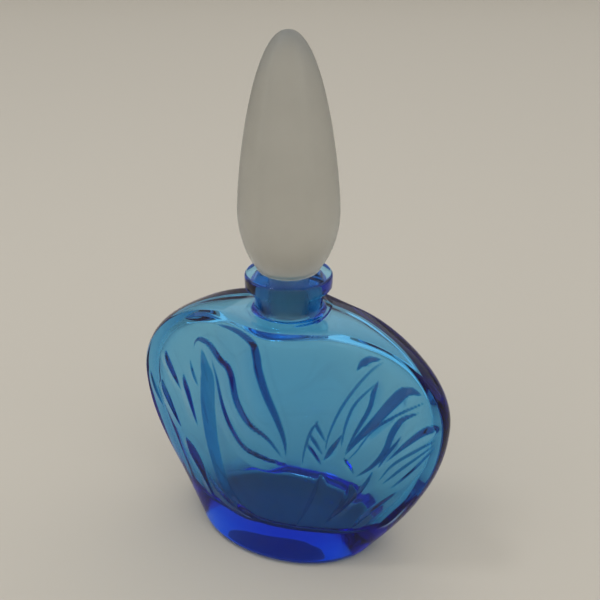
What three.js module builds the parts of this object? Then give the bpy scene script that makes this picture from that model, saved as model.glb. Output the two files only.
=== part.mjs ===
// A perfume bottle of blue pressed glass with a frosted flame stopper, in millimetres.
// +Z is up, the origin is the middle of the base, and the two wide faces look along -Y and +Y.
import * as THREE from "three";

// Body outline, seen from the front.
const bodyHalfWidth = 46;
const widestLevel = 46.4;
const baseHalfWidth = 24.2;
const shoulderLevel = 74.6; // top edge of the wide faces
const topHalfWidth = 10.7; // half of the straight part of that edge

// Body section, seen from above: two crowned faces that meet a band at each end.
const baseHalfDepth = 19.6;
const middleHalfDepth = 16.6;
const topHalfDepth = 15.2;
const bandHalfDepthBase = 9;
const bandHalfDepthWidest = 3.5;
const bandHalfDepthTop = 8.7;
const bandBulge = 1.4; // how far the band stands out past its two edges
const bandBulgeBase = 2.6;
const baseEdgeRadius = 2.2;
const shoulderRise = 0.4; // the shoulder's slope up to the foot of the neck
const ridgeRounding = 0.2; // share of the half width over which the upper face is rounded at its middle
const archEnd = 0.4; // how much of its crown the arc of the lower face keeps at its two ends
const archTop = 0.45; // share of the shoulder level at which the arc has given way to the ridge
const bulgeTop = 0.3; // share of the shoulder level up to which the base's bulge reaches
const flareBelow = 5; // how suddenly the band widens towards the base, and towards the neck
const flareAbove = 5.7;

// Neck and collar.
const neckRadius = 9.4;
const neckFillet = 1.8;
const neckHeight = 6.8; // shoulder to the underside of the collar
const collarRadius = 12;
const collarHeight = 4.1;
const collarEdge = 0.8;
const collarEdgeCut = 0.3; // share of that edge cut off where it is rounded

// Bore, which tapers downwards, and the peg ground to fit it.
const boreRadius = 5.95; // at the mouth
const boreTaper = 0.05; // radius lost for each millimetre of depth
const boreChamfer = 0.5;
const pegClearance = 0.3;
const pegDepth = 13.2; // below the mouth
const pegChamfer = 0.6;

// Cavity.
const faceWall = 4; // at the middle of a face
const faceWallEnd = 2.6; // at the two ends of a face
const faceWallTop = 2.8; // under the roof
const faceWallReach = 4; // how late the wall thins on the way up to the roof
const endWall = 3.4;
const roofThickness = 2.8;
const roofSharpness = 24; // exponent of the corner between the wall and the roof
const endSharpness = 12; // exponent of the corners at the two ends of the cavity
const floorThickness = 8.5;
const floorRadius = 5;

// Stopper: a flame with six soft flats.
const seatGap = 0.8; // between the collar and the underside of the flame
const flameRadius = 13.56;
const flameBelly = 16.7; // underside to the widest level
const flameBellyDrop = 20.3; // half height of the ellipse that the lower flame follows
const flameRise = 44.9; // widest level to the tip
const flameShoulder = 1.4; // exponents of the upper outline
const flameTip = 0.46;
const flameUnderEdge = 1.3;
const flameTipRadius = 0.7;
const flatSharpness = 12;
const flatFade = 0.2; // share of the flame's height over which the flats fade in, and fade out again
const stopperTurn = THREE.MathUtils.degToRad(17.8); // how far the stopper stands turned in the bore

// Steps of the meshes.
const frontSteps = 44;
const backSteps = 20;
const bandSteps = 4;
const bodySteps = 28;
const cavitySteps = 16;
const roofSteps = 10;
const stopperSides = 48;
const flameSteps = 20;
const flameCrowding = 1.5; // how much the steps of the flame crowd towards its tip
const shoulderSteps = 3;

// Raised leaves of the front face. Each point of a foot line is across and up, as shares of the half width and the
// shoulder level, and the leaf is on the right of the way the line runs. bank is the width and rise the height of
// its steep side, slope the width of the long side behind it, all in millimetres.
const leaves = [
  { line: [[-0.21, 0.97], [-0.04, 0.9], [0.02, 0.76], [0.08, 0.66], [0.13, 0.48]], bank: 1.8, rise: 1.5, slope: 7 },
  { line: [[-0.55, 0.83], [-0.41, 0.87], [-0.23, 0.78], [-0.11, 0.61], [0.12, 0.47]], bank: 1.4, rise: 1.1, slope: 5 },
  { line: [[-0.49, 0.84], [-0.38, 0.72], [-0.36, 0.43], [-0.17, 0.23], [-0.03, 0.18]], bank: 4.6, rise: 1.7, slope: 2 },
  { line: [[-0.81, 0.75], [-0.75, 0.7], [-0.67, 0.6]], bank: 1.4, rise: 1, slope: 3 },
  { line: [[-0.65, 0.69], [-0.6, 0.62], [-0.54, 0.47]], bank: 1.4, rise: 1, slope: 3 },
  { line: [[-0.86, 0.61], [-0.79, 0.54], [-0.71, 0.42]], bank: 1.4, rise: 1, slope: 3 },
  { line: [[-0.67, 0.38], [-0.58, 0.35], [-0.49, 0.29], [-0.4, 0.18]], bank: 2, rise: 1.7, slope: 3 },
  { line: [[0.46, 0.52], [0.51, 0.62], [0.57, 0.72], [0.62, 0.83]], bank: 1.4, rise: 1.1, slope: 2.4 },
  { line: [[0.46, 0.51], [0.62, 0.69], [0.75, 0.81], [0.87, 0.78]], bank: 2.9, rise: 2.2, slope: 2.6 },
  { line: [[0.52, 0.42], [0.67, 0.55], [0.77, 0.69], [0.86, 0.72]], bank: 1.7, rise: 1.3, slope: 2.4 },
  { line: [[0.68, 0.49], [0.79, 0.58], [0.89, 0.65], [0.98, 0.66]], bank: 1.7, rise: 1.3, slope: 2.4 },
  { line: [[0.4, 0.23], [0.49, 0.31], [0.63, 0.46]], bank: 1.4, rise: 0.8, slope: 2.4 },
  { line: [[0.53, 0.19], [0.6, 0.26], [0.78, 0.36]], bank: 1.5, rise: 1, slope: 2.4 },
  { line: [[0.66, 0.17], [0.75, 0.25], [0.9, 0.36]], bank: 1.9, rise: 1.4, slope: 2.4 },
];
const leafSegments = 20;

const collarTop = shoulderLevel + neckHeight + collarHeight;
const loopPoints = frontSteps + backSteps + 2 * bandSteps;

const clamp = (value, low, high) => Math.min(high, Math.max(low, value));
const mix = (from, to, share) => from + (to - from) * share;
const smooth = (share) => share * share * (3 - 2 * share);

// Half width of a wide face: a parabola below the widest level, and a quarter ellipse above it.
function faceHalfWidth(level) {
  if (level < widestLevel) {
    const left = 1 - level / widestLevel;
    return mix(bodyHalfWidth, baseHalfWidth, left * left);
  }
  const rise = clamp((level - widestLevel) / (shoulderLevel - widestLevel), 0, 1);
  return mix(topHalfWidth, bodyHalfWidth, Math.sqrt(1 - rise * rise));
}

// Half depth at the middle of the face: a parabola through its three sizes.
function middleDepth(level) {
  const share = clamp(level / shoulderLevel, 0, 1);
  return (
    baseHalfDepth * (1 - share) * (1 - 2 * share) +
    middleHalfDepth * 4 * share * (1 - share) +
    topHalfDepth * share * (2 * share - 1)
  );
}

// Half depth of the band where it meets a face: slender at the widest level, and flaring to the base and neck.
function bandDepth(level) {
  if (level < widestLevel) {
    const left = 1 - level / widestLevel;
    return mix(bandHalfDepthWidest, bandHalfDepthBase, left ** flareBelow);
  }
  const rise = clamp((level - widestLevel) / (shoulderLevel - widestLevel), 0, 1);
  return mix(bandHalfDepthWidest, bandHalfDepthTop, rise ** flareAbove);
}

// Half depth of the body at a place across a face. Low down the face is an arc of an ellipse; higher up it is
// two flat flanks rounded over the middle.
function faceDepth(across, level) {
  const share = clamp(across / faceHalfWidth(level), -1, 1);
  const arc = (Math.sqrt(1 - (1 - archEnd ** 2) * share * share) - archEnd) / (1 - archEnd);
  const flank = (part) => Math.hypot(part, ridgeRounding) - ridgeRounding;
  const roof = 1 - flank(share) / flank(1);
  const blend = smooth(clamp(level / (archTop * shoulderLevel), 0, 1));
  return mix(bandDepth(level), middleDepth(level), mix(arc, roof, blend));
}

// The line of each leaf as short straight pieces in millimetres.
const leafLines = leaves.map((leaf) => {
  const points = leaf.line.map(([across, up]) =>
    new THREE.Vector3(across * bodyHalfWidth, up * shoulderLevel, 0));
  return { ...leaf, path: new THREE.CatmullRomCurve3(points).getPoints(leafSegments) };
});

// Height of the leaves at a place on the front face. A leaf climbs over its bank from its foot line, falls away
// over its slope, and runs out to nothing at both ends of the line.
function leafHeight(across, level) {
  let height = 0;
  for (const leaf of leafLines) {
    let nearest = Infinity;
    let onRight = false;
    let along = 0;
    for (let i = 0; i < leafSegments; i++) {
      const start = leaf.path[i];
      const end = leaf.path[i + 1];
      const run = [end.x - start.x, end.y - start.y];
      const to = [across - start.x, level - start.y];
      const share = clamp((to[0] * run[0] + to[1] * run[1]) / (run[0] ** 2 + run[1] ** 2), 0, 1);
      const distance = Math.hypot(to[0] - run[0] * share, to[1] - run[1] * share);
      if (distance < nearest) {
        nearest = distance;
        onRight = run[1] * to[0] - run[0] * to[1] > 0;
        along = (i + share) / leafSegments;
      }
    }
    const fullness = 4 * along * (1 - along);
    const bank = leaf.bank * fullness;
    if (!onRight || bank === 0) continue;
    height += leaf.rise * fullness * clamp(Math.min(nearest / bank, 1 - (nearest - bank) / leaf.slope), 0, 1);
  }
  return height;
}

// One loop round the body at a level, anticlockwise seen from above: the front face from its left end, the right
// band, the plain back face and the left band. inset draws it in all round, as the rounded bottom edge needs, and
// leafShare is how much of their height the leaves have.
function bodyLoop(level, inset = 0, leafShare = 1) {
  const halfWidth = faceHalfWidth(level);
  const bulge = mix(bandBulgeBase, bandBulge, clamp(level / (bulgeTop * shoulderLevel), 0, 1));
  const loop = [];
  for (let i = 0; i < frontSteps; i++) {
    const across = halfWidth * (2 * i / frontSteps - 1);
    loop.push([across, -faceDepth(across, level) - leafShare * leafHeight(across, level)]);
  }
  const band = Array.from({ length: bandSteps }, (_, i) => {
    const side = 2 * i / bandSteps - 1;
    return [halfWidth + bulge * (1 - side * side), side * bandDepth(level)];
  });
  loop.push(...band);
  for (let i = 0; i < backSteps; i++) {
    const across = halfWidth * (1 - 2 * i / backSteps);
    loop.push([across, faceDepth(across, level)]);
  }
  loop.push(...band.map(([x, y]) => [-x, -y]));
  return loop.map(([x, y]) => {
    const shrink = 1 - inset / Math.hypot(x, y);
    return new THREE.Vector3(x * shrink, y * shrink, level);
  });
}

// Angle of each point of a loop once it is round: the wide faces take most of the circle, the bands the rest.
const bandAngle = THREE.MathUtils.degToRad(10);
function roundAngle(i) {
  const wide = Math.PI - 2 * bandAngle;
  if (i < frontSteps) return -Math.PI + bandAngle + wide * i / frontSteps;
  if (i < frontSteps + bandSteps) return -bandAngle + 2 * bandAngle * (i - frontSteps) / bandSteps;
  const after = i - frontSteps - bandSteps;
  if (after < backSteps) return bandAngle + wide * after / backSteps;
  return Math.PI - bandAngle + 2 * bandAngle * (after - backSteps) / bandSteps;
}

function roundLoop(radius, level) {
  return Array.from({ length: loopPoints }, (_, i) => new THREE.Vector3(
    radius * Math.cos(roundAngle(i)), radius * Math.sin(roundAngle(i)), level));
}

// The body from its bottom edge to the top edge of the faces, in levels that crowd together where it curves.
function bodyLoops() {
  const loops = [];
  for (const turn of [0, 30, 60]) {
    const angle = THREE.MathUtils.degToRad(turn);
    const level = baseEdgeRadius * (1 - Math.cos(angle));
    loops.push(bodyLoop(level, baseEdgeRadius * (1 - Math.sin(angle)), 0));
  }
  const lowSteps = Math.round(bodySteps / 2);
  for (let i = 0; i <= lowSteps; i++) {
    loops.push(bodyLoop(mix(baseEdgeRadius, widestLevel, i / lowSteps)));
  }
  const highSteps = bodySteps - lowSteps;
  for (let i = 1; i <= highSteps; i++) {
    const rise = Math.sin(i / highSteps * Math.PI / 2);
    loops.push(bodyLoop(mix(widestLevel, shoulderLevel, rise)));
  }
  return loops;
}

// The shoulder draws in from the top edge of the faces to the foot of the neck, nearly flat.
function shoulderLoops() {
  const outer = bodyLoop(shoulderLevel);
  const inner = roundLoop(neckRadius + neckFillet, shoulderLevel);
  return Array.from({ length: shoulderSteps }, (_, step) => outer.map((point, i) => {
    const share = (step + 1) / shoulderSteps;
    const next = point.clone().lerp(inner[i], share);
    next.z = shoulderLevel + shoulderRise * smooth(share);
    return next;
  }));
}

// Neck, collar and bore as rings, each a radius and a level.
function neckRings() {
  const foot = shoulderLevel + shoulderRise;
  const collarFoot = collarTop - collarHeight;
  const rings = [];
  for (const turn of [30, 60, 90]) {
    const angle = THREE.MathUtils.degToRad(turn);
    rings.push([neckRadius + neckFillet * (1 - Math.sin(angle)), foot + neckFillet * (1 - Math.cos(angle))]);
  }
  rings.push([neckRadius, collarFoot]);
  rings.push([collarRadius - collarEdge, collarFoot]);
  rings.push([collarRadius, collarFoot + collarEdge]);
  rings.push([collarRadius, collarTop - collarEdge]);
  rings.push([collarRadius - collarEdgeCut * collarEdge, collarTop - collarEdgeCut * collarEdge]);
  rings.push([collarRadius - collarEdge, collarTop]);
  rings.push([boreRadius + boreChamfer, collarTop]);
  rings.push([boreAt(collarTop - boreChamfer), collarTop - boreChamfer]);
  rings.push([boreAt(shoulderLevel), shoulderLevel]);
  return rings;
}

function boreAt(level) {
  return boreRadius - boreTaper * (collarTop - level);
}

// The cavity follows the outside at the thickness of its walls. Its roof closes to the bore round a soft corner,
// and its floor is flat with a rounded edge.
function cavityLoops() {
  const roofLevel = shoulderLevel - roofThickness;
  const neck = boreAt(roofLevel);
  const widest = bodyHalfWidth - endWall;
  const loops = [roundLoop(neck, roofLevel)];
  const section = (level, halfWidth, roofShare, drawnIn) => {
    const openness = Math.sqrt(1 - roofShare ** roofSharpness);
    loops.push(roundLoop(1, level).map((unit) => {
      const x = halfWidth * unit.x;
      const end = Math.sqrt(1 - unit.x ** endSharpness);
      const wall = mix(mix(faceWall, faceWallEnd, unit.x ** 2), faceWallTop, roofShare ** faceWallReach);
      const lens = (faceDepth(x, level) - wall - drawnIn) * end;
      const y = mix(neck * Math.abs(unit.y), lens, openness);
      return new THREE.Vector3(x, Math.sign(unit.y) * y, level);
    }));
  };
  for (let i = roofSteps; i >= 0; i--) {
    const angle = i / roofSteps * Math.PI / 2;
    const level = mix(widestLevel, roofLevel, Math.sin(angle));
    section(level, mix(topHalfWidth, widest, Math.cos(angle)), Math.sin(angle), 0);
  }
  const floorEdge = floorThickness + floorRadius;
  const lowSteps = cavitySteps - roofSteps;
  for (let i = 1; i <= lowSteps; i++) {
    const level = mix(widestLevel, floorEdge, i / lowSteps);
    section(level, faceHalfWidth(level) - endWall, 0, 0);
  }
  for (const turn of [30, 60, 90]) {
    const angle = THREE.MathUtils.degToRad(turn);
    const level = floorEdge - floorRadius * Math.sin(angle);
    const drawnIn = floorRadius * (1 - Math.cos(angle));
    section(level, faceHalfWidth(level) - endWall - drawnIn, 0, drawnIn);
  }
  return loops;
}

// Joins loops of equally many points into one closed surface, with a flat fan at each end. Loops run
// anticlockwise seen from above, the first one faces down and the last one faces up.
function closedSurface(loops) {
  const points = loops.flat();
  const count = loops[0].length;
  const faces = [];
  const first = points.push(new THREE.Vector3(0, 0, loops[0][0].z)) - 1;
  const last = points.push(new THREE.Vector3(0, 0, loops.at(-1)[0].z)) - 1;
  const lastRow = (loops.length - 1) * count;
  for (let j = 0; j < count; j++) {
    const next = (j + 1) % count;
    faces.push(first, next, j);
    faces.push(last, lastRow + j, lastRow + next);
    for (let row = 0; row < lastRow; row += count) {
      faces.push(row + j, row + next, row + count + next);
      faces.push(row + j, row + count + next, row + count + j);
    }
  }
  const geometry = new THREE.BufferGeometry().setFromPoints(points);
  geometry.setIndex(faces);
  geometry.computeVertexNormals();
  return geometry;
}

function bottleGeometry() {
  return closedSurface([
    ...bodyLoops(),
    ...shoulderLoops(),
    ...neckRings().map(([radius, level]) => roundLoop(radius, level)),
    ...cavityLoops(),
  ]);
}

// Radius of the flame at a height above its underside: an ellipse below the widest level, and above it an
// outline that runs out to a blunt tip.
function flameRadiusAt(height) {
  if (height < flameBelly) {
    const drop = (flameBelly - height) / flameBellyDrop;
    return flameRadius * Math.sqrt(1 - drop * drop);
  }
  const rise = clamp((height - flameBelly) / flameRise, 0, 1);
  return flameRadius * (1 - rise ** flameShoulder) ** flameTip;
}

// Six soft flats: the distance to a rounded hexagon whose corners lie on the unit circle.
function flatShare(angle) {
  const reach = (turn) => [0, 1, 2].reduce(
    (sum, i) => sum + Math.abs(Math.cos(turn - i * Math.PI / 3)) ** flatSharpness, 0) ** (-1 / flatSharpness);
  return reach(angle) / reach(Math.PI / 6);
}

function flameLoops() {
  const underside = collarTop + seatGap;
  const loops = [];
  const height = flameBelly + flameRise;
  const ring = (above, radius, flatness) => {
    loops.push(Array.from({ length: stopperSides }, (_, i) => {
      const angle = i * 2 * Math.PI / stopperSides;
      const reach = radius * mix(1, flatShare(angle), flatness);
      return new THREE.Vector3(reach * Math.cos(angle), reach * Math.sin(angle), underside + above);
    }));
  };
  const foot = flameRadiusAt(flameUnderEdge);
  for (const turn of [0, 45]) {
    const angle = THREE.MathUtils.degToRad(turn);
    ring(flameUnderEdge * (1 - Math.cos(angle)), foot - flameUnderEdge * (1 - Math.sin(angle)), 0);
  }
  for (let i = 0; i < flameSteps; i++) {
    const share = i / flameSteps;
    const above = mix(flameUnderEdge, height, 1 - (1 - share) ** flameCrowding);
    ring(above, flameRadiusAt(above), smooth(Math.min(1, share / flatFade, (1 - share) / flatFade)));
  }
  ring(height, flameTipRadius, 0);
  return loops;
}

function pegLoops() {
  const foot = collarTop - pegDepth;
  const pegAt = (level) => boreAt(level) - pegClearance;
  const rings = [
    [pegAt(foot) - pegChamfer, foot],
    [pegAt(foot + pegChamfer), foot + pegChamfer],
    [pegAt(collarTop), collarTop],
    [pegAt(collarTop), collarTop + seatGap],
  ];
  return rings.map(([radius, level]) => Array.from({ length: stopperSides }, (_, i) => {
    const angle = i * 2 * Math.PI / stopperSides;
    return new THREE.Vector3(radius * Math.cos(angle), radius * Math.sin(angle), level);
  }));
}

const blueGlass = new THREE.MeshStandardMaterial({
  color: 0x3f8fc4, roughness: 0.03, metalness: 0, transparent: true, opacity: 0.6,
});
const frostedGlass = new THREE.MeshStandardMaterial({
  color: 0xc9c6bb, roughness: 0.6, metalness: 0, transparent: true, opacity: 0.9,
});

const bottle = new THREE.Mesh(bottleGeometry(), blueGlass);
bottle.name = "bottle";

const stopper = new THREE.Mesh(closedSurface([...pegLoops(), ...flameLoops()]), frostedGlass);
stopper.name = "stopper";
stopper.rotation.z = stopperTurn - Math.PI / 2;

const perfumeBottle = new THREE.Group();
perfumeBottle.add(bottle, stopper);

export default perfumeBottle;
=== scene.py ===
import math

import bpy
import numpy as np
from mathutils import Matrix, Vector


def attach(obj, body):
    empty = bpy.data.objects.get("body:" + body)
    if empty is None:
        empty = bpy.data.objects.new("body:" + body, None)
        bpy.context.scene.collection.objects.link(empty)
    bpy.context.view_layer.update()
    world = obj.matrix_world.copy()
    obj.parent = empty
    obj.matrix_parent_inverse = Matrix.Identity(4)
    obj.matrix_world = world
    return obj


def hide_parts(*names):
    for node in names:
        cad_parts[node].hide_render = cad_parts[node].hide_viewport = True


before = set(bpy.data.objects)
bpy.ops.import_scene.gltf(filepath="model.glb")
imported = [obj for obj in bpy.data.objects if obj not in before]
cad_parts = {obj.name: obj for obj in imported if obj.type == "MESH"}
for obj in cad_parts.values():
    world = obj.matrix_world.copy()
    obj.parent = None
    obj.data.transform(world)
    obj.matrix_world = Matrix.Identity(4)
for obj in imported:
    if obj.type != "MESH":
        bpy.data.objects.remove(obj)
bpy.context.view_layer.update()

millimetre = 0.001


def mixed(start, end, share):
    return start + (end - start) * share


def smooth(share):
    # 3t^2 - 2t^3, held at 0 and 1 outside the unit range
    share = np.clip(share, 0, 1)
    return share * share * (3 - 2 * share)


def splinePoints(corners, count):
    # Catmull-Rom curve: each stretch is a cubic through its two corners, with slopes taken from
    # their neighbours
    corners = np.asarray(corners, float)
    ends = np.vstack([2 * corners[0] - corners[1], corners, 2 * corners[-1] - corners[-2]])
    place = np.linspace(0, len(corners) - 1, count)
    piece = np.minimum(place.astype(int), len(corners) - 2)
    t = (place - piece)[:, None]
    a, b, c, d = ends[piece], ends[piece + 1], ends[piece + 2], ends[piece + 3]
    bend, twist = 2 * a - 5 * b + 4 * c - d, 3 * b - a - 3 * c + d
    return 0.5 * (2 * b + (c - a) * t + bend * t ** 2 + twist * t ** 3)


def closedMesh(name, rows, material, paintedShadeAndLowTint=None):
    # rows are rings of points that run anticlockwise seen from above. They go from the underside up
    # the outside and, on the bottle, down the inside. Rings of equal count are joined by quads, and
    # a ring of half the count by three triangles a step.
    points = np.vstack([*rows, rows[0].mean(0), rows[-1].mean(0)])
    starts = np.cumsum([0, *[len(row) for row in rows]])
    quads, triangles = [], []
    for number, (low, high) in enumerate(zip(rows, rows[1:])):
        step = np.arange(len(high))
        after = (step + 1) % len(high)
        if len(low) == len(high):
            a, b = starts[number] + step, starts[number] + after
            c, d = starts[number + 1] + after, starts[number + 1] + step
            quads.append(np.stack([a, b, c, d], 1))
        else:
            first, middle = starts[number] + 2 * step, starts[number] + 2 * step + 1
            last = starts[number] + (2 * step + 2) % len(low)
            near, far = starts[number + 1] + step, starts[number + 1] + after
            triangles.append(np.stack([first, middle, near], 1))
            triangles.append(np.stack([middle, last, far], 1))
            triangles.append(np.stack([middle, far, near], 1))
    for row, pole, down in ((0, len(points) - 2, True), (len(rows) - 1, len(points) - 1, False)):
        step = np.arange(len(rows[row]))
        here, after = starts[row] + step, starts[row] + (step + 1) % len(step)
        centre = np.full(len(step), pole)
        triangles.append(np.stack([centre, after, here] if down else [centre, here, after], 1))
    faces = np.vstack(quads).tolist() + np.vstack(triangles).tolist()
    mesh = bpy.data.meshes.new(name)
    mesh.from_pydata((points * millimetre).tolist(), [], faces)
    mesh.polygons.foreach_set("use_smooth", np.ones(len(mesh.polygons), bool))
    mesh.materials.append(material)
    # painted shade along the leaves' banks and a deeper blue on the lower front, one number a point for
    # the glass's colour
    if paintedShadeAndLowTint is not None:  # one number for each point, and none for the two poles
        attribute = mesh.attributes.new("paintedShadeAndLowTint", "FLOAT", "POINT")
        attribute.data.foreach_set("value", np.append(paintedShadeAndLowTint, [0, 0]))
    mesh.update()
    piece = bpy.data.objects.new(name, mesh)
    bpy.context.scene.collection.objects.link(piece)
    return piece


def ring(radius, level, angles):
    levels = np.full(len(angles), float(level))
    return np.stack([radius * np.cos(angles), radius * np.sin(angles), levels], 1)


view = {
    "turn": 22.555,  # degrees round the bottle, from straight in front
    "distance": 193.7,  # across the table, millimetres
    "height": 170.35,
    "pan": -0.911,  # degrees off the bottle's axis
    "pitch": 25.742,  # degrees down
    "roll": 0.262,
    "lens": 46.86,  # millimetres, for the sensor's width
    "sensor": 36,
    "nearest": 0.005,  # metres, where the camera begins to see
}


def makeCamera():
    turn, pitch, roll = (math.radians(view[key]) for key in ("turn", "pitch", "roll"))
    heading = turn + math.radians(view["pan"])
    flat = math.cos(pitch)
    forward = Vector((-math.sin(heading) * flat, math.cos(heading) * flat, -math.sin(pitch)))
    level = Vector((math.cos(heading), math.sin(heading), 0))
    upright = level.cross(forward)
    right = level * math.cos(roll) + upright * math.sin(roll)
    up = upright * math.cos(roll) - level * math.sin(roll)
    cameraData = bpy.data.cameras.new("camera")
    cameraData.lens = view["lens"]
    cameraData.sensor_width = view["sensor"]
    cameraData.clip_start = view["nearest"]
    camera = bpy.data.objects.new("camera", cameraData)
    camera.matrix_world = Matrix((right, up, -forward)).transposed().to_4x4()
    place = (view["distance"] * math.sin(turn), -view["distance"] * math.cos(turn), view["height"])
    camera.location = Vector(place) * millimetre
    bpy.context.scene.collection.objects.link(camera)
    bpy.context.scene.camera = camera


studio = {
    "floorColour": (0.535, 0.505, 0.45, 1),
    "floorRoughness": 0.9,
    "worldColour": (1, 0.99, 0.97, 1),
    "worldStrength": 0.78,
    "floorSize": 9.0,
    "wallHeight": 1.2,
    "floorGap": 0.0001,  # air under the base, so that the glass and the table don't share a surface
    "backDistance": 2.2,
    "sweepRadius": 0.45,
    "sweepSteps": 24,
    "lamps": {  # place in metres, width in metres and power in watts
        "softbox": ((0.45, -0.25, 0.7), 0.5, 0.35),
        "windowLight": ((-0.25, -0.12, 0.75), 0.1, 0.5),
    },
}


def setLightPaths():
    # plain colours, and enough bounces for light that crosses many glass faces before it comes out
    bpy.context.scene.view_settings.view_transform = "Standard"
    bpy.context.scene.view_settings.look = "Medium High Contrast"
    paths = bpy.context.scene.cycles
    paths.max_bounces = 32
    paths.glossy_bounces = 24
    paths.transmission_bounces = 32


def makeStudio():
    # The floor rises behind the bottle in a quarter circle: a profile of depth and height, which is
    # carried across the view
    radius, back, size = studio["sweepRadius"], studio["backDistance"], studio["floorSize"]
    angles = np.linspace(0, math.pi / 2, studio["sweepSteps"])
    depth = np.concatenate([[-size], back + radius * np.sin(angles), [back + radius]])
    height = np.concatenate([[0], radius * (1 - np.cos(angles)), [studio["wallHeight"]]])
    height = height - studio["floorGap"]
    turn = math.radians(view["turn"])
    rows = []
    for side in (-size, size):
        x = side * math.cos(turn) - depth * math.sin(turn)
        y = side * math.sin(turn) + depth * math.cos(turn)
        rows.append(np.stack([x, y, height], 1))
    count = len(depth)
    step = np.arange(count - 1)
    faces = np.stack([step, step + count, step + count + 1, step + 1], 1)
    mesh = bpy.data.meshes.new("sweep")
    mesh.from_pydata(np.vstack(rows).tolist(), [], faces.tolist())
    mesh.polygons.foreach_set("use_smooth", np.ones(len(faces), bool))
    floor = bpy.data.objects.new("sweep", mesh)
    bpy.context.scene.collection.objects.link(floor)
    paint = bpy.data.materials.new("sweepPaper")
    paint.use_nodes = True
    shader = paint.node_tree.nodes["Principled BSDF"]
    shader.inputs["Base Color"].default_value = studio["floorColour"]
    shader.inputs["Roughness"].default_value = studio["floorRoughness"]
    mesh.materials.append(paint)

    for name, (place, width, power) in studio["lamps"].items():
        lampData = bpy.data.lights.new(name, "AREA")
        lampData.energy = power
        lampData.size = width
        lamp = bpy.data.objects.new(name, lampData)
        lamp.location = place
        lamp.rotation_euler = (-Vector(place)).to_track_quat("-Z", "Y").to_euler()
        bpy.context.scene.collection.objects.link(lamp)

    world = bpy.data.worlds.new("room")
    world.use_nodes = True
    background = world.node_tree.nodes["Background"]
    background.inputs["Color"].default_value = studio["worldColour"]
    background.inputs["Strength"].default_value = studio["worldStrength"]
    bpy.context.scene.world = world


def mathNode(material, operation, first, second=None):
    # a Math node fed by sockets or plain numbers; gives its output socket
    node = material.node_tree.nodes.new("ShaderNodeMath")
    node.operation = operation
    for socket, value in zip(node.inputs, (first, second)):
        if isinstance(value, bpy.types.NodeSocket):
            material.node_tree.links.new(value, socket)
        elif value is not None:
            socket.default_value = value
    return node.outputs[0]


glass = {
    "absorbColour": (0.08, 0.705, 0.94, 1),
    "absorbDensity": 250,
    # deep blue for the painted shade on the leaves' banks and for the deeper blue low on the front
    "paintedShadeAndTintColour": (0.001, 0.09, 0.36, 1),
    "paintedShadeAndTintUnevenness": 0.3,
    "index": 1.51,
    "specular": 0.12,
    "roughness": 0.008,
    "roughnessSpread": 0.012,
    "waveScale": 60,
    "waveDetail": 2,
    "waveStrength": 0.06,
    "waveHeight": 0.001,
    "groundRadius": 6.3,  # the bore is ground inside this radius and above this level, millimetres
    "groundFoot": 71,
    "groundRoughness": 0.45,
}


def makeBlueGlass():
    material = bpy.data.materials.new("bluePressedGlass")
    material.use_nodes = True
    nodes, links = material.node_tree.nodes, material.node_tree.links
    shader = nodes["Principled BSDF"]
    shader.inputs["Transmission Weight"].default_value = 1
    shader.inputs["IOR"].default_value = glass["index"]
    shader.inputs["Specular IOR Level"].default_value = glass["specular"]
    absorb = nodes.new("ShaderNodeVolumeAbsorption")
    absorb.inputs["Color"].default_value = glass["absorbColour"]
    absorb.inputs["Density"].default_value = glass["absorbDensity"]
    links.new(absorb.outputs["Volume"], nodes["Material Output"].inputs["Volume"])
    place = nodes.new("ShaderNodeTexCoord")
    paintedShadeAndTintMap = nodes.new("ShaderNodeAttribute")
    paintedShadeAndTintMap.attribute_name = "paintedShadeAndLowTint"
    waves = nodes.new("ShaderNodeTexNoise")
    waves.inputs["Scale"].default_value = glass["waveScale"]
    waves.inputs["Detail"].default_value = glass["waveDetail"]
    links.new(place.outputs["Object"], waves.inputs["Vector"])
    uneven = mathNode(material, "MULTIPLY_ADD", waves.outputs["Fac"], glass["paintedShadeAndTintUnevenness"])
    uneven.node.inputs[2].default_value = 1 - glass["paintedShadeAndTintUnevenness"] / 2
    tint = nodes.new("ShaderNodeGamma")  # raises the painted shade's colour to a power, as a thicker filter does
    tint.inputs["Color"].default_value = glass["paintedShadeAndTintColour"]
    # painted shade: the banks' dark ribbons and the lower front's deeper blue are coloured into the
    # glass
    links.new(mathNode(material, "MULTIPLY", paintedShadeAndTintMap.outputs["Fac"], uneven), tint.inputs["Gamma"])
    links.new(tint.outputs["Color"], shader.inputs["Base Color"])
    split = nodes.new("ShaderNodeSeparateXYZ")
    links.new(place.outputs["Object"], split.inputs["Vector"])
    across = mathNode(material, "POWER", split.outputs["X"], 2)
    around = mathNode(material, "POWER", split.outputs["Y"], 2)
    reach = mathNode(material, "SQRT", mathNode(material, "ADD", across, around))
    inBore = mathNode(material, "LESS_THAN", reach, glass["groundRadius"] * millimetre)
    high = mathNode(material, "GREATER_THAN", split.outputs["Z"], glass["groundFoot"] * millimetre)
    ground = mathNode(material, "MULTIPLY", inBore, high)
    polish = mathNode(material, "MULTIPLY_ADD", waves.outputs["Fac"], glass["roughnessSpread"])
    polish.node.inputs[2].default_value = glass["roughness"]
    haze = mathNode(material, "MULTIPLY_ADD", ground, glass["groundRoughness"])
    links.new(polish, haze.node.inputs[2])
    links.new(haze, shader.inputs["Roughness"])
    bump = nodes.new("ShaderNodeBump")
    bump.inputs["Strength"].default_value = glass["waveStrength"]
    bump.inputs["Distance"].default_value = glass["waveHeight"]
    links.new(waves.outputs["Fac"], bump.inputs["Height"])
    links.new(bump.outputs["Normal"], shader.inputs["Normal"])
    return material


frost = {
    "colour": (0.70, 0.695, 0.655, 1),
    "cloudColour": (0.60, 0.595, 0.56, 1),
    "cloudScale": 90,
    "roughness": 0.4,
    "roughnessSpread": 0.08,
    "transmission": 0.9,
    "index": 1.5,
    "grainScale": 9000,
    "grainHeight": 0.00003,
    "grainStrength": 0.3,
}


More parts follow.
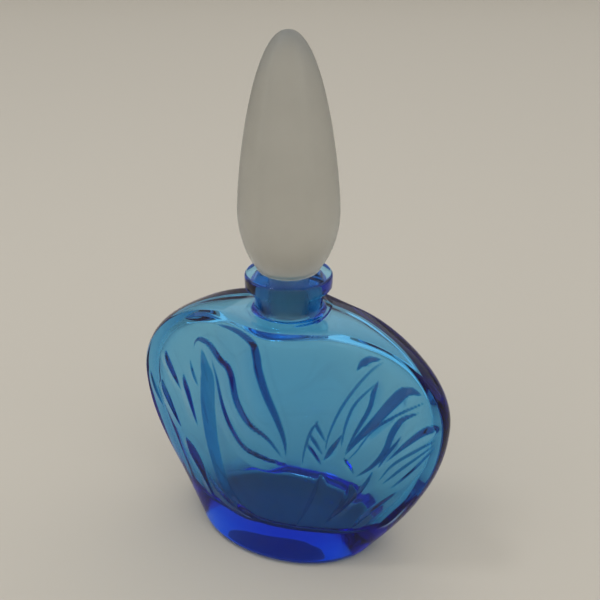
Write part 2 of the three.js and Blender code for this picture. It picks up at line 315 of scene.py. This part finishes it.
def makeFrostedGlass():
    material = bpy.data.materials.new("frostedGlass")
    material.use_nodes = True
    nodes, links = material.node_tree.nodes, material.node_tree.links
    shader = nodes["Principled BSDF"]
    shader.inputs["Transmission Weight"].default_value = frost["transmission"]
    shader.inputs["IOR"].default_value = frost["index"]
    place = nodes.new("ShaderNodeTexCoord")
    cloud = nodes.new("ShaderNodeTexNoise")
    cloud.inputs["Scale"].default_value = frost["cloudScale"]
    links.new(place.outputs["Object"], cloud.inputs["Vector"])
    milk = nodes.new("ShaderNodeMix")
    milk.data_type = "RGBA"
    milk.inputs["A"].default_value = frost["colour"]
    milk.inputs["B"].default_value = frost["cloudColour"]
    links.new(cloud.outputs["Fac"], milk.inputs["Factor"])
    links.new(milk.outputs["Result"], shader.inputs["Base Color"])
    satin = mathNode(material, "MULTIPLY_ADD", cloud.outputs["Fac"], frost["roughnessSpread"])
    satin.node.inputs[2].default_value = frost["roughness"]
    links.new(satin, shader.inputs["Roughness"])
    grain = nodes.new("ShaderNodeTexNoise")
    grain.inputs["Scale"].default_value = frost["grainScale"]
    links.new(place.outputs["Object"], grain.inputs["Vector"])
    bump = nodes.new("ShaderNodeBump")
    bump.inputs["Strength"].default_value = frost["grainStrength"]
    bump.inputs["Distance"].default_value = frost["grainHeight"]
    links.new(grain.outputs["Fac"], bump.inputs["Height"])
    links.new(bump.outputs["Normal"], shader.inputs["Normal"])
    return material


bottleSize = {  # millimetres, as in the part
    "halfWidth": 46,
    "widestLevel": 46.4,
    "baseHalfWidth": 24.2,
    "shoulderLevel": 74.6,
    "topHalfWidth": 10.7,
    "baseHalfDepth": 19.6,
    "middleHalfDepth": 16.6,
    "topHalfDepth": 15.2,
    "bandDepthBase": 9,
    "bandDepthWidest": 3.5,
    "bandDepthTop": 8.7,
    "bandBulge": 1.4,
    "bandBulgeBase": 2.6,
    "baseEdge": 2.2,
    "topEdge": 0.6,
    "shoulderRise": 0.4,
    "ridgeRounding": 0.2,
    "archEnd": 0.4,
    "archTop": 0.45,
    "bulgeTop": 0.3,
    "flareBelow": 5,
    "flareAbove": 5.7,
    "neckRadius": 9.4,
    "neckFillet": 1.8,
    "neckHeight": 6.8,
    "collarRadius": 12,
    "collarHeight": 4.1,
    "collarEdge": 0.8,
    "collarUnder": 0.6,
    "boreRadius": 5.95,
    "boreTaper": 0.05,
    "boreChamfer": 0.5,
    "faceWall": 4,
    "faceWallEnd": 2.6,
    "faceWallTop": 2.8,
    "faceWallReach": 4,
    "endWall": 3.4,
    "roofThickness": 2.8,
    "boreEdge": 1.02,  # how much wider than the bore the first ring under its foot is
    "boreLip": 1.04,  # and how much wider the roof of the cavity starts
    "roofSharpness": 24,
    "endSharpness": 12,
    "leafMargin": 0.07,  # share of a half face over which the leaves run out at its two ends
    "paintedShadeEdge": 0.2,
    "lowTint": 0.24,  # how much deeper blue is painted on the lower front, in place of thicker glass, then where that starts and ends
    "lowTintFoot": 6,
    "lowTintTop": 50,
    "floorThickness": 8.5,
    "floorRadius": 5,
    "bandAngle": 10,  # degrees, half of what a band takes of a round ring
    "leafSteps": 40,  # points along the foot of a leaf
    "leastFullness": 0.001,
    "tipFade": 4,  # how fast a leaf's painted bank shade comes in from its tips
    "frontSteps": 340,
    "backSteps": 60,
    "bandSteps": 16,
    "lowerRows": 90,
    "upperRows": 78,
    "rowCrowding": 1.4,  # how much the upper rows crowd towards the shoulder
    "boreRows": 6,
    "vaultRows": 29,  # of the cavity, from its roof down to the widest level
    "vaultCrowding": 1.3,  # how much they crowd towards the roof
    "wallRows": 14,
    "floorRows": 9,
    "shoulderShares": (0.02, 0.07, 0.15, 0.3, 0.45, 0.6, 0.75, 0.9, 1),  # from the rim to the neck
}
size = bottleSize
collarTop = size["shoulderLevel"] + size["neckHeight"] + size["collarHeight"]
roofLevel = size["shoulderLevel"] - size["roofThickness"]

# Raised leaves of the front face. Each starts with the line of its foot, across and up in
# millimetres, with the leaf on the right of the way the line runs. Then come the width and the
# height of its steep bank, the width of the long slope that falls away behind the bank, the share
# of the line's length at which the leaf is fullest, and how deeply the bank is painted dark blue:
# painted shade in place of the dark ribbons that refraction makes along the banks.
leaves = [
    # left half: from the shoulder down to the middle, where the tips meet
    ([(-18.5, 71), (-9.7, 72.4), (-3.6, 71), (-1.8, 67), (-1.2, 63), (0.8, 56.5), (3.8, 49), (5.7, 42),
      (5.9, 35.5)], 1.8, 1.5, 7, 0.42, 1),
    ([(-26, 60.5), (-25.3, 63.5), (-23.2, 65.3), (-19, 65), (-15, 62.2), (-12.2, 61), (-10.4, 58),
      (-8.8, 51), (-4.9, 45.4), (0.8, 42.2), (5.6, 35.4)], 1.5, 1.2, 5, 0.6, 1),
    ([(-18.7, 61.5), (-16.5, 55), (-14.2, 47), (-11.5, 41.6), (-7.2, 37), (-2, 35.5), (5.8, 34.2)],
     0.9, 0.7, 4, 0.55, 1),
    ([(-22.6, 62.5), (-19.8, 58.6), (-17.6, 54), (-17.7, 44), (-16.6, 32), (-13.4, 22), (-8, 17),
      (-1.6, 13.6)], 4.6, 1.7, 1.2, 0.35, 0.45),
    ([(-22.5, 22), (-17.8, 18.4), (-10, 15.6), (-2, 13.8)], 0.9, 0.7, 2.5, 0.5, 0.8),
    ([(-37.3, 56.3), (-34.4, 52), (-30.6, 45)], 1.1, 1, 2.5, 0.4, 0.8),
    ([(-29.9, 51.5), (-27.5, 46), (-25, 35)], 1.1, 1, 3, 0.4, 0.9),
    ([(-39.4, 45.6), (-36.4, 40.5), (-32.5, 31)], 1.1, 1, 3, 0.4, 0.9),
    ([(-44.4, 47.5), (-42.2, 42), (-39.6, 35.5)], 0.8, 0.7, 2, 0.5, 0.8),
    ([(-27.1, 57), (-25.5, 53), (-24, 49.5)], 0.5, 0.5, 1.5, 0.5, 0.8),
    ([(-31, 28.5), (-26.8, 26.4), (-22.6, 21.3), (-18.6, 13.5)], 2, 1.7, 2.2, 0.4, 1),
    ([(-30, 68.5), (-25.4, 71.6), (-20.9, 72.8), (-15.5, 72.8)], 0.9, 0.8, 1.8, 0.4, 0.9),
    # right half: a sheaf from the middle of the base out to the right end
    ([(15.9, 38.5), (16.7, 45), (19.1, 52.8), (22.7, 59.9), (26.6, 65.2), (29.8, 67.5)],
     0.7, 0.5, 5, 0.5, 0.7),
    ([(22.9, 64.6), (23.7, 67.4), (25.8, 68.7), (29, 68)], 1.8, 1.5, 1.2, 0.5, 1),
    ([(20.3, 41), (20.8, 48), (23.2, 55.6), (28.8, 62.2)], 0.7, 0.5, 2.2, 0.5, 0.8),
    ([(21, 38.6), (23.5, 46.4), (26.4, 54), (27.2, 59), (28.6, 62.2)], 1.3, 1.1, 2, 0.7, 1),
    ([(21, 38), (23.4, 44), (28.3, 51.8), (31.7, 57.3), (34.3, 60.2), (37.3, 60.4), (40, 58.4)],
     2.9, 2.2, 2.6, 0.6, 1),
    ([(25, 44.6), (28.6, 49.4), (33.1, 52.4), (41.2, 56.6)], 0.85, 0.6, 2.2, 0.5, 0.9),
    ([(21.2, 36), (24.1, 40.2), (27.4, 46.6), (30.8, 50.6), (34.6, 51.9)], 0.4, 0.4, 2.5, 0.5, 0.8),
    ([(24, 31), (28.2, 35.7), (31, 41), (32.6, 47.3), (35.2, 51.7), (39.8, 53.4)], 1.7, 1.3, 2, 0.6, 1),
    ([(30, 34.5), (32, 40.4), (35.6, 45.8)], 0.9, 0.8, 1.2, 0.6, 1),
    ([(31.5, 36.3), (36.4, 43.4), (40.8, 48.3), (44, 49.5), (47.2, 48.6)], 1.7, 1.3, 2.2, 0.6, 1),
    ([(30, 29.5), (33.8, 36.4), (40, 41.8), (45, 45.2)], 0.7, 0.5, 2, 0.5, 0.7),
    ([(31, 28.7), (36, 35), (45, 44.2)], 0.7, 0.5, 2, 0.5, 0.7),
    ([(33.3, 27.2), (38.4, 34), (45, 43.4)], 0.7, 0.5, 2, 0.5, 0.7),
    ([(18.2, 17), (22.5, 23), (26.4, 29), (28.9, 34)], 1, 0.8, 2, 0.6, 0.9),
    ([(24.2, 14), (27.4, 19.6), (35.8, 26.8)], 1.3, 1, 2, 0.5, 0.9),
    ([(30.3, 12.8), (34.4, 18.6), (41.2, 26.8)], 1.9, 1.4, 2.2, 0.5, 1),
    ([(9.9, 34), (10.5, 40.3), (12, 46.2), (14.2, 49.4)], 0.7, 0.5, 2, 0.6, 0.7),
    ([(13.6, 49.4), (15, 46.2), (16.5, 42.4)], 0.6, 0.5, 0.9, 0.4, 0.9),
    ([(12.3, 45.4), (14, 42.3), (15.7, 38.3)], 0.6, 0.5, 0.9, 0.4, 0.9),
    ([(11.5, 42.5), (13.5, 39.1), (15.5, 34.7)], 0.6, 0.5, 0.9, 0.4, 0.9),
    ([(15.7, 36.6), (17.1, 40.6), (20.4, 45.6)], 1.4, 1.1, 1, 0.5, 0.9),
    ([(21.2, 37.9), (22.9, 35.4), (24.3, 32)], 0.5, 0.5, 0.8, 0.4, 0.9),
    ([(8.8, 13.5), (12, 22.6), (14.9, 32)], 1.2, 0.6, 2, 0.6, 0.4),
    ([(16.8, 15.2), (20.6, 22.8), (22.8, 29)], 1.4, 0.8, 2.2, 0.6, 0.6),
]


def aroundWidest(level):
    # how far down from the widest level to the table, and how far up from it to the shoulder
    drop = 1 - np.clip(level / size["widestLevel"], 0, 1)
    rise = (level - size["widestLevel"]) / (size["shoulderLevel"] - size["widestLevel"])
    return drop, np.clip(rise, 0, 1)


def faceHalfWidth(level):
    # parabola below the widest level, quarter ellipse above it
    drop, rise = aroundWidest(level)
    low = mixed(size["halfWidth"], size["baseHalfWidth"], drop ** 2)
    high = mixed(size["topHalfWidth"], size["halfWidth"], np.sqrt(1 - rise ** 2))
    return np.where(level < size["widestLevel"], low, high)


def middleDepth(level):
    # parabola through the half depths at the base, half way up and at the shoulder
    share = np.clip(level / size["shoulderLevel"], 0, 1)
    return (size["baseHalfDepth"] * (1 - share) * (1 - 2 * share)
            + size["middleHalfDepth"] * 4 * share * (1 - share)
            + size["topHalfDepth"] * share * (2 * share - 1))


def bandDepth(level):
    # slender at the widest level; flares with a high power of the way down and of the way up
    drop, rise = aroundWidest(level)
    low = drop ** size["flareBelow"]
    return (size["bandDepthWidest"] + (size["bandDepthBase"] - size["bandDepthWidest"]) * low
            + (size["bandDepthTop"] - size["bandDepthWidest"]) * rise ** size["flareAbove"])


def faceDepth(across, level):
    # crown from band to middle: an ellipse's arc low down, and higher up two flanks that are
    # rounded over the middle
    share = np.clip(across / faceHalfWidth(level), -1, 1)
    end = size["archEnd"]
    arc = (np.sqrt(1 - (1 - end ** 2) * share ** 2) - end) / (1 - end)
    soft = size["ridgeRounding"]
    roof = 1 - (np.hypot(share, soft) - soft) / (math.hypot(1, soft) - soft)
    crown = mixed(arc, roof, smooth(level / (size["archTop"] * size["shoulderLevel"])))
    return mixed(bandDepth(level), middleDepth(level), crown)


def leafRelief(across, level):
    # Height and painted shade at each place: the sum of the leaves' heights, and the deepest of their
    # painted bank shades. At the distance d inside its foot line a leaf stands h d/w high over its bank
    # of width w, and h (1 - (d - w)/b) over its slope of width b. Bank and height shrink towards both
    # ends of the line as 1 - u^2, where u is the way from the fullest place to the end.
    height, shade = np.zeros(np.shape(across)), np.zeros(np.shape(across))
    for line, bank, rise, slope, fullest, ribbonShade in leaves:
        path = splinePoints(line, size["leafSteps"])
        reach = bank + slope
        near = ((across > path[:, 0].min() - reach) & (across < path[:, 0].max() + reach)
                & (level > path[:, 1].min() - reach) & (level < path[:, 1].max() + reach))
        place = np.stack([across[near], level[near]], 1)[:, None, :]
        run = (path[1:] - path[:-1])[None]
        away = place - path[None, :-1]
        share = np.clip((away * run).sum(2) / (run ** 2).sum(2), 0, 1)
        distance = np.hypot(*(away - run * share[..., None]).transpose(2, 0, 1))
        nearest = distance.argmin(1)[:, None]
        onRight = run[..., 1] * away[..., 0] - run[..., 0] * away[..., 1] > 0
        share = np.take_along_axis(share, nearest, 1)[:, 0]
        distance = np.take_along_axis(distance, nearest, 1)[:, 0]
        onRight = np.take_along_axis(onRight, nearest, 1)[:, 0]
        along = (nearest[:, 0] + share) / (len(path) - 1)
        before, beyond = (fullest - along) / fullest, (along - fullest) / (1 - fullest)
        way = np.where(along < fullest, before, beyond)
        fullness = np.maximum(1 - way ** 2, size["leastFullness"])
        climb = distance / (bank * fullness)
        fall = 1 - (distance - bank * fullness) / slope
        height[near] += rise * fullness * np.clip(np.minimum(climb, fall), 0, 1) * onRight
        soft = size["paintedShadeEdge"] / (bank * fullness)  # the painted shade fades at either edge of the bank
        # painted shade: dark blue over the bank, standing in for the ribbon that refraction darkens
        # there
        shadedRibbon = ribbonShade * onRight * np.clip(climb / soft, 0, 1)
        shadedRibbon = shadedRibbon * np.clip((1 - climb) / soft + 1, 0, 1)
        shade[near] = np.maximum(shade[near], shadedRibbon * np.minimum(size["tipFade"] * fullness, 1))
    return height, shade


def bodyRing(level, inset=0.0, leafShare=1.0):
    # front face from left to right, right band, plain back face from right to left, left band
    halfWidth = float(faceHalfWidth(level))
    across = halfWidth * np.linspace(-1, 1, size["frontSteps"], endpoint=False)
    height, shade = leafRelief(across, np.full(len(across), float(level)))
    margin = smooth((1 - np.abs(across) / halfWidth) / size["leafMargin"])
    height, shade = margin * height, margin * shade
    # a deeper blue painted on the lower front, in place of thicker glass there
    low = smooth((size["lowTintTop"] - level) / (size["lowTintTop"] - size["lowTintFoot"]))
    shade = np.maximum(shade, size["lowTint"] * low * smooth(level / size["lowTintFoot"] - 1))
    front = np.stack([across, -faceDepth(across, level) - leafShare * height], 1)
    across = halfWidth * np.linspace(-1, 1, size["backSteps"], endpoint=False)
    back = np.stack([-across, faceDepth(across, level)], 1)
    side = np.linspace(-1, 1, size["bandSteps"], endpoint=False)
    bulgeShare = min(level / (size["bulgeTop"] * size["shoulderLevel"]), 1)
    bulge = mixed(size["bandBulgeBase"], size["bandBulge"], bulgeShare)
    band = np.stack([halfWidth + bulge * (1 - side ** 2), side * bandDepth(level)], 1)
    flat = np.vstack([front, band, back, -band])
    flat *= 1 - inset / np.hypot(*flat.T)[:, None]
    shades = np.concatenate([leafShare * shade, np.zeros(len(flat) - len(front))])
    return np.column_stack([flat, np.full(len(flat), float(level))]), shades


def roundAngles():
    # where the points of a round ring stand, so that they face the points of the body's own rings:
    # the wide faces take most of the circle and the bands the rest
    steps = [size["frontSteps"], size["bandSteps"], size["backSteps"], size["bandSteps"]]
    half = size["bandAngle"]
    starts = np.radians([half - 180, -half, half, 180 - half, 180 + half])
    return np.concatenate([np.linspace(first, last, count // 2, endpoint=False)
                           for first, last, count in zip(starts, starts[1:], steps)])


def boreAt(level):
    return size["boreRadius"] - size["boreTaper"] * (collarTop - level)


def arcRings(centre, radii, turns):
    # a round stretch in the radius and level plane, at turns in degrees
    return [(centre[0] + radii[0] * math.cos(turn), centre[1] + radii[1] * math.sin(turn))
            for turn in (math.radians(degrees) for degrees in turns)]


def neckRings():
    # radius and level of each ring up the neck, over the collar and down the bore
    foot, collarFoot = size["shoulderLevel"] + size["shoulderRise"], collarTop - size["collarHeight"]
    neck, fillet = size["neckRadius"], size["neckFillet"]
    collar, edge, under = size["collarRadius"], size["collarEdge"], size["collarUnder"]
    chamfer = size["boreChamfer"]
    upTheFillet = (-105, -120, -135, -150, -165, -180)
    rings = arcRings((neck + fillet, foot + fillet), (fillet, fillet), upTheFillet)
    rings += [(neck, mixed(foot + fillet, collarFoot - under, share)) for share in (0.33, 0.66)]
    rings += arcRings((neck + under, collarFoot - under), (under, under), (180, 150, 120, 90))
    rings += [(mixed(neck + under, collar - edge, 0.5), collarFoot)]
    rings += arcRings((collar - edge, collarFoot + edge), (edge, edge), (-90, -65, -45, -25, 0))
    rings += arcRings((collar - edge, collarTop - edge), (edge, edge), (0, 25, 45, 65, 90))
    mouth = size["boreRadius"] + chamfer
    rings += [(mixed(collar - edge, mouth, share), collarTop) for share in (0.3, 0.6, 0.9)]
    rings += arcRings((mouth, collarTop - chamfer), (-chamfer, chamfer), (90, 60, 30, 0))
    boreLevels = np.linspace(collarTop - 2 * chamfer, size["shoulderLevel"], size["boreRows"])
    return rings + [(boreAt(level), level) for level in boreLevels]


def cavityRing(level, halfWidth, angles, roofShare=0.0, drawnIn=0.0):
    # The outside at the thickness of the wall, closed at the two ends by sqrt(1 - x^n), where n is
    # endSharpness. Near the roof it draws in to the bore's circle, by sqrt(1 - t^m) of the way t up
    # to the roof, where m is roofSharpness.
    unitX, unitY = np.cos(angles), np.abs(np.sin(angles))
    x = halfWidth * unitX
    end = np.sqrt(1 - unitX ** size["endSharpness"])
    wall = mixed(size["faceWall"], size["faceWallEnd"], unitX ** 2)
    wall = mixed(wall, size["faceWallTop"], roofShare ** size["faceWallReach"])
    lens = (faceDepth(x, level) - wall - drawnIn) * end
    neck = size["boreLip"] * boreAt(roofLevel) * unitY
    y = mixed(neck, lens, math.sqrt(1 - roofShare ** size["roofSharpness"]))
    return np.stack([x, np.sign(np.sin(angles)) * y, np.full(len(x), float(level))], 1)


def cavityRings(angles):
    roof, neck = roofLevel, boreAt(roofLevel)
    widest = size["halfWidth"] - size["endWall"]
    floorEdge = size["floorThickness"] + size["floorRadius"]
    rings = [ring(share * neck, roof, angles) for share in (1, size["boreEdge"])]
    for turn in 90 * (1 - np.linspace(0, 1, size["vaultRows"]) ** size["vaultCrowding"]):
        rise, out = math.sin(math.radians(turn)), math.cos(math.radians(turn))
        halfWidth = mixed(size["topHalfWidth"], widest, out)
        rings.append(cavityRing(mixed(size["widestLevel"], roof, rise), halfWidth, angles, rise))
    for level in np.linspace(size["widestLevel"], floorEdge, size["wallRows"])[1:]:
        rings.append(cavityRing(level, float(faceHalfWidth(level)) - size["endWall"], angles))
    for turn in np.linspace(0, 90, size["floorRows"])[1:]:
        level = floorEdge - size["floorRadius"] * math.sin(math.radians(turn))
        drawnIn = size["floorRadius"] * (1 - math.cos(math.radians(turn)))
        halfWidth = float(faceHalfWidth(level)) - size["endWall"] - drawnIn
        rings.append(cavityRing(level, halfWidth, angles, drawnIn=drawnIn))
    return rings


def makeBottle(material):
    edge, topEdge = size["baseEdge"], size["topEdge"]
    bodyRings = []
    for turn in np.radians((0, 18, 36, 54, 72)):
        bodyRings.append(bodyRing(edge * (1 - math.cos(turn)), edge * (1 - math.sin(turn)), 0))
    for level in np.linspace(edge, size["widestLevel"], size["lowerRows"]):
        bodyRings.append(bodyRing(level))
    below = size["shoulderLevel"] - topEdge
    for rise in 1 - np.linspace(1, 0, size["upperRows"])[1:] ** size["rowCrowding"]:
        bodyRings.append(bodyRing(mixed(size["widestLevel"], below, rise)))
    for turn in np.radians((22, 45, 68, 90)):
        bodyRings.append(bodyRing(below + topEdge * math.sin(turn), topEdge * (1 - math.cos(turn))))
    rows = [points for points, shade in bodyRings]
    print("body rings", len(rows))
    rim, angles = rows[-1][::2], roundAngles()
    foot = ring(size["neckRadius"] + size["neckFillet"], size["shoulderLevel"], angles)
    for share in size["shoulderShares"]:
        row = mixed(rim, foot, share)
        row[:, 2] = size["shoulderLevel"] + size["shoulderRise"] * smooth(share)
        rows.append(row)
    rows += [ring(radius, level, angles) for radius, level in neckRings()]
    rows += cavityRings(angles)
    shades = np.concatenate([shade for points, shade in bodyRings])
    shades = np.append(shades, np.zeros(sum(len(row) for row in rows) - len(shades)))
    bottle = closedMesh("blueGlassBottle", rows, material, shades)
    print("bottle", len(bottle.data.polygons), "faces")
    return bottle


stopperSize = {
    "seatGap": 0.8,
    "radius": 13.56,
    "belly": 16.7,
    "bellyDrop": 20.3,
    "rise": 44.9,
    "shoulder": 1.4,
    "tip": 0.46,
    "underEdge": 1.3,
    "sharpness": 12,
    "turn": 17.8,
    "pegClearance": 0.3,
    "pegDepth": 13.2,
    "pegChamfer": 0.6,
    "pegRows": 12,
    "pegFlare": ((0, 0.25), (0.1, 0.07)),  # out from the peg, and down from the flame's underside
    "sides": 192,
    "rows": 120,
    "lastRow": 0.997,  # how near to the tip the last ring stands
    "tipCrowding": 1.5,  # how much the rings crowd towards the tip
    "flatFade": 5,  # how fast the flats come in from the flame's two ends
}


def flameRadiusAt(height):
    # ellipse below the widest level, and above it (1 - t^shoulder)^tip of the way t to the tip
    drop = np.clip((stopperSize["belly"] - height) / stopperSize["bellyDrop"], 0, 1)
    rise = np.clip((height - stopperSize["belly"]) / stopperSize["rise"], 0, 1)
    above = (1 - rise ** stopperSize["shoulder"]) ** stopperSize["tip"]
    return stopperSize["radius"] * np.sqrt(1 - drop ** 2) * above


def flatShare(angles):
    # sum of powers over the three pairs of flats: a hexagon with soft corners on the unit circle
    sharpness = stopperSize["sharpness"]

    def reach(turn):
        sums = sum(np.abs(np.cos(turn - i * math.pi / 3)) ** sharpness for i in range(3))
        return sums ** (-1 / sharpness)
    return reach(angles) / reach(math.pi / 6)


def makeStopper(material):
    facing = np.arange(stopperSize["sides"]) * 2 * math.pi / stopperSize["sides"]
    turned = facing + math.radians(stopperSize["turn"] - 90)
    foot, clearance = collarTop - stopperSize["pegDepth"], stopperSize["pegClearance"]
    chamfer = stopperSize["pegChamfer"]
    rows = [ring(boreAt(foot) - clearance - chamfer, foot, turned)]
    for level in np.linspace(foot + chamfer, collarTop, stopperSize["pegRows"]):
        rows.append(ring(boreAt(level) - clearance, level, turned))
    underside, edge = collarTop + stopperSize["seatGap"], stopperSize["underEdge"]
    pegRadius = boreAt(collarTop) - clearance
    for out, down in stopperSize["pegFlare"]:
        rows.append(ring(pegRadius + out, underside - down, turned))
    flameFoot = float(flameRadiusAt(edge))
    for turn in np.radians((0, 15, 30, 45, 60, 75)):
        radius = flameFoot - edge * (1 - math.sin(turn))
        rows.append(ring(radius, underside + edge * (1 - math.cos(turn)), turned))
    height = stopperSize["belly"] + stopperSize["rise"]
    fade = stopperSize["flatFade"]
    for share in np.linspace(0, stopperSize["lastRow"], stopperSize["rows"]):
        above = mixed(edge, height, 1 - (1 - share) ** stopperSize["tipCrowding"])
        flatness = float(smooth(min(1, fade * share, fade * (1 - share))))
        radius = float(flameRadiusAt(above)) * mixed(1, flatShare(facing), flatness)
        rows.append(ring(radius, underside + above, turned))
    stopper = closedMesh("frostedFlameStopper", rows, material)
    print("stopper", len(stopper.data.polygons), "faces")
    return stopper


makeCamera()
print("camera placed")
makeStudio()
setLightPaths()
print("studio ready")

bottle = makeBottle(makeBlueGlass())
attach(bottle, "bottle")
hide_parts("bottle")

stopper = makeStopper(makeFrostedGlass())
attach(stopper, "stopper")
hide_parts("stopper")
